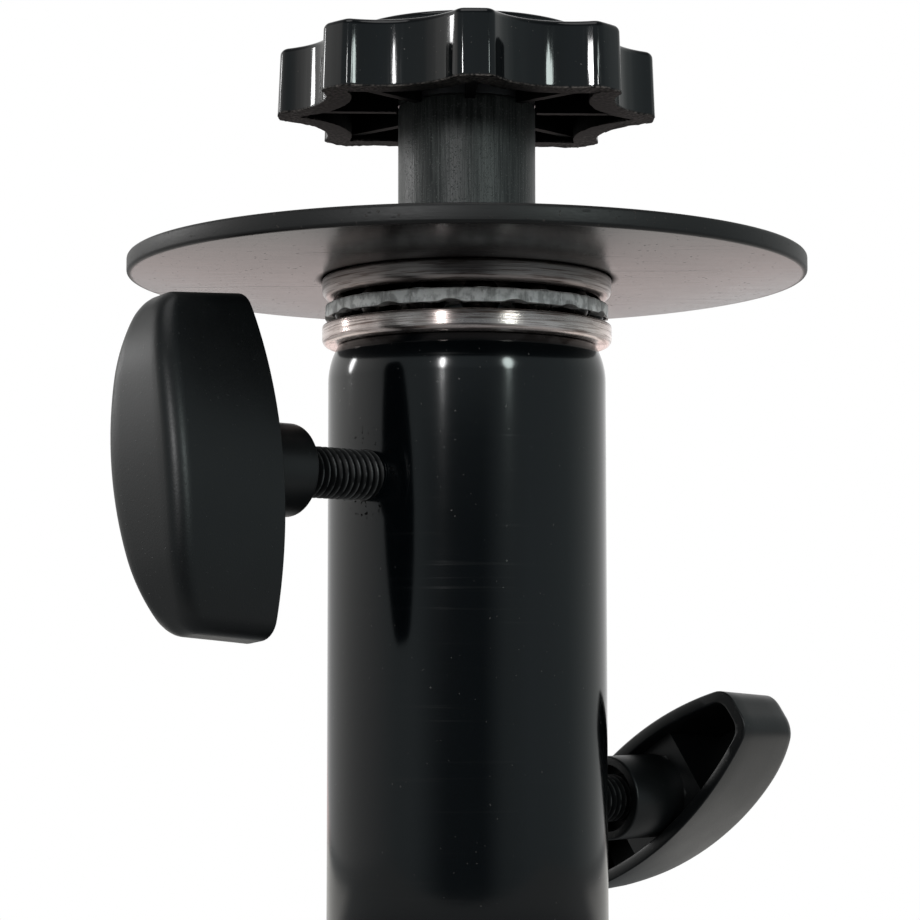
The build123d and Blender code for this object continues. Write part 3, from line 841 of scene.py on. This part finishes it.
class SWIVEL_OT_wing_screws(bpy.types.Operator):
    """Build both wing handles and their threaded screws"""

    bl_idname = "swivel.wing_screws"
    bl_label = "Wing Screws"

    # Where the hub ends and the wing begins, the wing's depth, half its width, and the width of the screw's hex head
    hub, depth, broad, hexagon = 9.1, 19.4, 9.45, 13.0

    def half_width(self, x, half, middle, end, corner):
        """Half the width of a wing's plan at a place along it: a long arc with rounded ends."""
        sag = middle - end
        arc = (half**2 + sag**2) / (2 * sag)
        if abs(x) <= (half - corner) * arc / (arc - corner):
            return middle - arc + sqrt(arc**2 - x**2)
        centre = middle - arc + sqrt((arc - corner) ** 2 - (half - corner) ** 2)
        return centre + sqrt(max(corner**2 - (abs(x) - half + corner) ** 2, 0))

    def body(self, name, half, middle, end, corner, levels):
        """A wing's solid: a column of points drawn out along the plan, raised level by level, then bowed."""
        places = [-half * cos(pi * i / 56) for i in range(57)]
        widths = [self.half_width(x, half, middle, end, corner) for x in places]
        z = levels[0][0]
        piece = point(name, (places[0], -widths[0], z))
        for _ in range(8):
            bpy.ops.mesh.extrude_vertices_move(TRANSFORM_OT_translate={"value": (0, widths[0] / 4 * MM, 0)})
        bpy.ops.mesh.select_all(action="SELECT")
        for i in range(1, len(places)):
            x = places[i]
            bpy.ops.mesh.extrude_edges_move(TRANSFORM_OT_translate={"value": ((x - places[i - 1]) * MM, 0, 0)})
            scale = widths[i] / widths[i - 1]
            bpy.ops.transform.resize(value=(1, scale, 1), center_override=(x * MM, 0, z * MM))
        bpy.ops.mesh.select_all(action="SELECT")
        along, across = half, middle
        for level, inset in levels:
            rise = max(level - self.hub, 0) / self.depth
            if level != z:
                bpy.ops.mesh.extrude_region_move(TRANSFORM_OT_translate={"value": (0, 0, (level - z) * MM)})
            drawn_in = half - 1.1 * rise - inset, middle - 1.15 * rise - inset
            scale = (drawn_in[0] / along, drawn_in[1] / across, 1)
            bpy.ops.transform.resize(value=scale, center_override=(0, 0, level * MM))
            z, along, across = level, *drawn_in
        clean(piece)
        self.bow_face(piece, half, z)
        return piece

    def bow_face(self, piece, half, high):
        """Lower a wing's face towards both ends with a lattice: a flat arc, then a tighter one at each end."""
        start_fresh()
        low, flat, flat_drop, reach, bow = self.hub, 13.0, 0.7, 26.25, 5.6
        bpy.ops.object.add(type="LATTICE", location=(0, 0, (low + high) / 2 * MM))
        lattice = bpy.context.object
        grid = lattice.data
        grid.points_u, grid.points_v, grid.points_w = 31, 2, 2
        grid.interpolation_type_u = "KEY_CATMULL_ROM"
        grid.interpolation_type_v = grid.interpolation_type_w = "KEY_LINEAR"
        lattice.scale = (2 * half * MM, 40 * MM, (high - low) * MM)
        arc = (flat**2 + flat_drop**2) / (2 * flat_drop)
        slope = asin(flat / arc)
        chord = Vector((reach - flat, bow - flat_drop))
        end_arc = chord.length / (2 * sin(atan2(chord.y, chord.x) - slope))
        for knot in grid.points:
            if knot.co.z > 0:
                x = abs(knot.co.x * 2 * half)
                drop = arc - sqrt(arc**2 - x**2)
                if x > flat:
                    away = x - flat + end_arc * sin(slope)
                    drop = flat_drop + end_arc * cos(slope) - sqrt(end_arc**2 - away**2)
                knot.co_deform.z -= drop / (high - low)
        changed(piece, "LATTICE", object=lattice)
        bpy.data.objects.remove(lattice)

    def wing(self, name, s):
        """One wing, drawn about the screw's axis with its hub's end at the origin."""
        half, wall, recess, lip, hub_radius = s.length / 2 / MM, 2.6, 3.0, 0.3, 7.1
        rim, face, crease = self.hub, self.hub + self.depth, s.crease / MM
        turns = [pi / 2 * i / 7 for i in range(8)]
        flank = [(rim + lip + (self.depth - lip - crease) * i / 4, 0) for i in range(1, 4)]
        eased = [(rim + lip * (1 - cos(a)), lip * (1 - sin(a))) for a in turns[::2]]
        fold = [(face - crease + crease * sin(a), crease * (1 - cos(a))) for a in turns]
        wing = self.body(name, half, self.broad, 4.0, 3.84, eased + [(rim + lip, 0)] + flank + fold)
        mouth, deep = 2.1, self.depth - wall - lip
        flare = [(rim - 1, -lip), (rim, -lip), (rim + 0.1, -0.12), (rim + lip, 0)]
        inside = flare + [(rim + lip + deep * i / 4, (wall - mouth) * i / 4) for i in range(1, 5)]
        core = self.body("core", half - mouth, self.broad - mouth, 2.9, 2.8, inside)
        web = 9.5
        carve(core, block((-web, -20, rim + recess), (web, 20, face + 5)))
        carve(wing, core)
        hub = turned("hub", [(hub_radius, 0), (hub_radius, rim + recess + 0.5)], solid=True, segments=96)
        ease(hub, [(hub_radius, 0)], 0.4, 3)
        carve(wing, hub, "UNION")
        carve(wing, bar(5.7, -1, 4.0))
        carve(wing, bar(4.07, 3, rim + recess + 1))
        carve(wing, bar((self.hexagon + 0.1) / sqrt(3), rim + recess, rim + recess + 5.4, sides=6))
        close(wing)
        return wing

    def screw(self, name, s):
        """One screw, drawn on the same axis: a cut thread, a plain neck and the head that the wing holds."""
        pitch, radius, low, high, head = s.pitch / MM, 3.98, -18.95, 5.0, self.hub + 3.0
        cut = 0.6 * pitch
        thread = point(name, (radius - cut, 0, low - 2 * pitch))
        for out, along in ((0, 0.22), (cut, 0.33), (0, 0.12), (-cut, 0.33)):
            bpy.ops.mesh.extrude_vertices_move(TRANSFORM_OT_translate={"value": (out * MM, 0, along * pitch * MM)})
        turns, steps = int((high - low) / pitch) + 4, 48
        turn = {"axis": "Z", "screw_offset": pitch * MM, "iterations": turns, "steps": steps, "render_steps": steps}
        changed(thread, "SCREW", **turn)
        close(thread)
        lead_in = turned("lead_in", [(3.2, low - 0.01), (4.05, low + 0.85), (4.05, high + 1)], solid=True, segments=96)
        carve(thread, lead_in, "INTERSECT")
        carve(thread, bar(4.0, high - 0.6, head + 0.5), "UNION")
        carve(thread, bar(self.hexagon / sqrt(3), head + 0.02, head + 5.3, sides=6), "UNION")
        carve(thread, bar(1.65, low - 1, low + 3.7, sides=32))
        close(thread)
        return thread

    def execute(self, context):
        s = context.scene.swivel_wings
        wings = [self.wing("upper_wing", s)]
        screws = [self.screw("upper_screw_fine", s)]
        for pieces, name in ((wings, "lower_wing"), (screws, "lower_screw_fine")):
            only(pieces[0])
            bpy.ops.object.duplicate()
            pieces.append(named(name))
        plastic = wing_plastic(s)
        for i, (side, place) in enumerate((("upper", UPPER_SCREW), ("lower", LOWER_SCREW))):
            placed(wings[i], place)
            placed(screws[i], place)
            done(wings[i], side + "_wing_handle", plastic)
            steel = black_screw(side + "_screw_steel", s, place.translation.z / MM)
            done(screws[i], side + "_clamp_screw", steel, 25)
        return {"FINISHED"}


class SWIVEL_OT_plain_parts(bpy.types.Operator):
    """Give the plain turned parts their finishes"""

    bl_idname = "swivel.plain_parts"
    bl_label = "Plain Parts"

    def execute(self, context):
        finishes = {"plain_steel": zinc_steel(), "ball_steel": ball_steel(), "insert_brass": brass()}
        for node, slot in SLOTS.items():
            if slot in finishes:
                mesh = frame["nodes"][node].data
                mesh.materials.clear()
                mesh.materials.append(finishes[slot])
        return {"FINISHED"}


class SWIVEL_OT_stage(bpy.types.Operator):
    """Set up the floor, the lights and the camera"""

    bl_idname = "swivel.stage"
    bl_label = "Stage"

    # Level directions away from the camera and to its right
    towards = Vector((0.7059, 0.7083, 0)).normalized()
    right = Vector((0.7083, -0.7059, 0)).normalized()
    up = Vector((0, 0, 1))

    def direction(self, azimuth, elevation):
        """Direction from the head, azimuth from the camera's side towards the right, in degrees."""
        a, e = radians(azimuth), radians(elevation)
        flat = self.right * sin(a) - self.towards * cos(a)
        return flat * cos(e) + self.up * sin(e)

    def lamp(self, name, azimuth, elevation, away, size, power, colour=(1, 1, 1)):
        """Area lamp, aimed at the head's middle."""
        light = bpy.data.lights.new(name, "AREA")
        light.shape = "ELLIPSE"
        light.size, light.size_y = size
        light.energy = power
        light.color = colour
        lamp = bpy.data.objects.new(name, light)
        bpy.context.scene.collection.objects.link(lamp)
        way = self.direction(azimuth, elevation)
        lamp.location = self.up * 90 * MM + way * away
        lamp.rotation_euler = (-way).to_track_quat("-Z", "Y").to_euler()

    def floor(self, s):
        """Strip of pale paper under and behind the head. It looks white further off and keeps the shadow.

        In gloss it is dim at the sleeve, which is painted shade, grey further off, and pale beside the head and behind
        it.
        """
        width, length, front, sunk = 0.44, 3.2, 0.12, 0.2 * MM
        start_fresh()
        bpy.ops.mesh.primitive_plane_add(size=1, enter_editmode=True)
        floor = named("floor")
        bpy.ops.transform.resize(value=(width, length, 1))
        bpy.ops.transform.translate(value=(0, length / 2 - front, -sunk))
        bpy.ops.object.mode_set(mode="OBJECT")
        placed(floor, Matrix((self.right, self.towards, self.up)).transposed().to_4x4())
        ground = Finish("pale_floor", Roughness=0.9)
        ground.set("Base Color", ground.mix(ground.noise(60, 3), s.floor_colour, [c * 0.97 for c in s.floor_colour]))
        x, y, _ = ground.axes()
        far = from_axis(x, y).step(0.05, 0.125)
        along = x * self.towards.x + y * self.towards.y
        across = x * self.right.x + y * self.right.y
        beside = ground.math("ABSOLUTE", across)
        beside = beside.step(0.03, 0.06) * (1.0 - beside.step(0.13, 0.18)) * along.step(0.02, 0.06)
        # Painted shade: gloss sees the floor dim near the sleeve, grey further off
        glow = ground.mix(far, (0.16, 0.17, 0.175), (0.33, 0.34, 0.34))
        glow = ground.mix(beside, glow, (0.80, 0.79, 0.76))
        glow = ground.mix(along.step(0.22, 0.50), glow, s.floor_glow)
        tone = ground.mix(ground.seen_by("Camera"), glow, (1, 1, 1))
        white = ground.node("ShaderNodeEmission", {"Color": tone, "Strength": 1.0})
        shiny = ground.seen_by("Glossy") + ground.seen_by("Transmission")
        seen = ground.seen_by("Camera") * (0.75 + far * 0.25) + shiny
        parts = {0: seen, 1: Wire(ground, ground.shader.outputs[0]), 2: white}
        ground.feed(ground.surface, ground.node("ShaderNodeMixShader", parts))
        floor.data.materials.append(ground.material)

    def room(self, context, s):
        """White behind the head. What shines in gloss is a bright room that is dark in front, low down."""
        world = bpy.data.worlds.new("studio")
        context.scene.world = world
        world.use_nodes = True
        sky = Wiring(world.node_tree)
        way = sky.node("ShaderNodeTexCoord", output="Generated")
        across, back, height = [
            sky.node("ShaderNodeVectorMath", {0: way, 1: axis}, output="Value", operation="DOT_PRODUCT")
            for axis in (self.right, -self.towards, self.up)
        ]
        azimuth = sky.math("ARCTAN2", across, back)
        ramp = sky.node("ShaderNodeValToRGB", {0: azimuth / (2 * pi) + 0.5})
        stops = ramp.socket.node.color_ramp.elements
        # Tone of the walls by azimuth. The first two take up the stops that a new ramp has
        walls = ((-180, (0.95, 0.95, 0.95)), (165, (1, 1, 1)), (-150, (0.60, 0.60, 0.60)), (-120, (0.58, 0.58, 0.57)),
                 (-84, (0.46, 0.47, 0.47)), (-60, (0.32, 0.36, 0.37)), (0, (0.30, 0.35, 0.37)),
                 (35, (0.25, 0.29, 0.30)), (52, (0.30, 0.35, 0.37)), (90, (0.31, 0.36, 0.37)),
                 (113, (0.44, 0.48, 0.48)), (134, (0.62, 0.64, 0.63)), (150, (0.80, 0.80, 0.80)))
        for i, (angle, level) in enumerate(walls):
            place = (angle + 180) / 360
            stop = stops[i] if i < 2 else stops.new(place)
            stop.position = place
            stop.color = (*level, 1)
        left = azimuth.step(radians(-48), radians(-14))
        right = azimuth.step(radians(10), radians(36))
        dark = (left - right) * (1.0 - height.step(0.06, 0.17))
        shine = sky.mix(dark * 0.85, ramp, (0.02, 0.025, 0.03))
        ceiling, below = height.step(0.42, 0.80) * 0.75, (1.0 - height.step(-0.40, 0.03)) * 0.5
        for share in (ceiling, below):
            shine = sky.mix(share, shine, (0.03, 0.035, 0.04))
        window = (1.0 - azimuth.step(radians(-100), radians(-62))) * height.step(-0.03, 0.22)
        window = window * (1.0 - height.step(0.4, 0.7))
        shine = sky.mix(window * 0.6, shine, (1, 1, 0.98))
        level = sky.mix(sky.seen_by("Glossy"), [s.fill] * 3, shine)
        level = sky.mix(sky.seen_by("Camera") + sky.seen_by("Transmission"), level, (1, 1, 1))
        shown = sky.node("ShaderNodeBackground", {"Color": level, "Strength": 1.0})
        sky.feed(sky.nodes.new("ShaderNodeOutputWorld").inputs["Surface"], shown)

    def camera(self, context, s):
        """Camera in front of the head, low down and looking a little upwards."""
        camera = bpy.data.cameras.new("camera")
        camera.lens = s.lens
        camera.sensor_width = 36
        camera.clip_start = 0.01
        eye = bpy.data.objects.new("camera", camera)
        context.scene.collection.objects.link(eye)
        pitch, roll, yaw, height = radians(4.4), radians(-0.05), radians(-0.16), 55.2 * MM
        ahead = (self.right * sin(yaw) + self.towards * cos(yaw)) * cos(pitch) + self.up * sin(pitch)
        side = self.right * cos(yaw) - self.towards * sin(yaw)
        over = side.cross(ahead)
        rolled_side = side * cos(roll) + over * sin(roll)
        rolled_over = over * cos(roll) - side * sin(roll)
        turn = Matrix((rolled_side, rolled_over, -ahead)).transposed().to_4x4()
        eye.matrix_world = Matrix.Translation(self.up * height - self.towards * s.distance) @ turn
        context.scene.camera = eye

    def execute(self, context):
        s = context.scene.swivel_stage
        self.floor(s)
        self.room(context, s)
        self.lamp("left_window", -112, 16, 2.0, (0.21, 0.51), 4.3)
        self.lamp("front_lamp", -20, 16, 2.0, (0.13, 0.51), 8.8)
        self.lamp("right_lamp", 34, 16, 2.0, (0.29, 0.51), 5.8, (0.88, 1.0, 0.97))
        self.lamp("top_soft", -20, 75, 0.9, (0.6, 0.6), 1.0)
        self.camera(context, s)
        context.scene.view_settings.view_transform = "Standard"
        return {"FINISHED"}


class SWIVEL_PT_panel(bpy.types.Panel):
    """Sidebar panel with each step and its settings"""

    bl_idname = "SWIVEL_PT_panel"
    bl_label = "Swivel Head"
    bl_space_type = "VIEW_3D"
    bl_region_type = "UI"
    bl_category = "Swivel Head"

    def draw(self, context):
        for operator, name, group in STEPS:
            column = self.layout.column()
            column.operator(operator.bl_idname)
            if group:
                for key in group.__annotations__:
                    column.prop(getattr(context.scene, name), key)


STEPS = (
    (SWIVEL_OT_sleeve, "swivel_sleeve", SleeveSettings),
    (SWIVEL_OT_turntable, "swivel_turntable", TurntableSettings),
    (SWIVEL_OT_bearing, "swivel_bearing", BearingSettings),
    (SWIVEL_OT_knob, "swivel_knob", KnobSettings),
    (SWIVEL_OT_wing_screws, "swivel_wings", WingSettings),
    (SWIVEL_OT_plain_parts, "", None),
    (SWIVEL_OT_stage, "swivel_stage", StageSettings),
)


def register():
    for operator, name, group in STEPS:
        if group:
            bpy.utils.register_class(group)
            setattr(bpy.types.Scene, name, PointerProperty(type=group))
        bpy.utils.register_class(operator)
    bpy.utils.register_class(SWIVEL_PT_panel)


def unregister():
    bpy.utils.unregister_class(SWIVEL_PT_panel)
    for operator, name, group in reversed(STEPS):
        bpy.utils.unregister_class(operator)
        if group:
            delattr(bpy.types.Scene, name)
            bpy.utils.unregister_class(group)


def main():
    register()
    bpy.ops.swivel.sleeve()
    bpy.ops.swivel.turntable()
    bpy.ops.swivel.bearing()
    bpy.ops.swivel.knob()
    bpy.ops.swivel.wing_screws()
    bpy.ops.swivel.plain_parts()
    bpy.ops.swivel.stage()


if __name__ == "__main__":
    main()
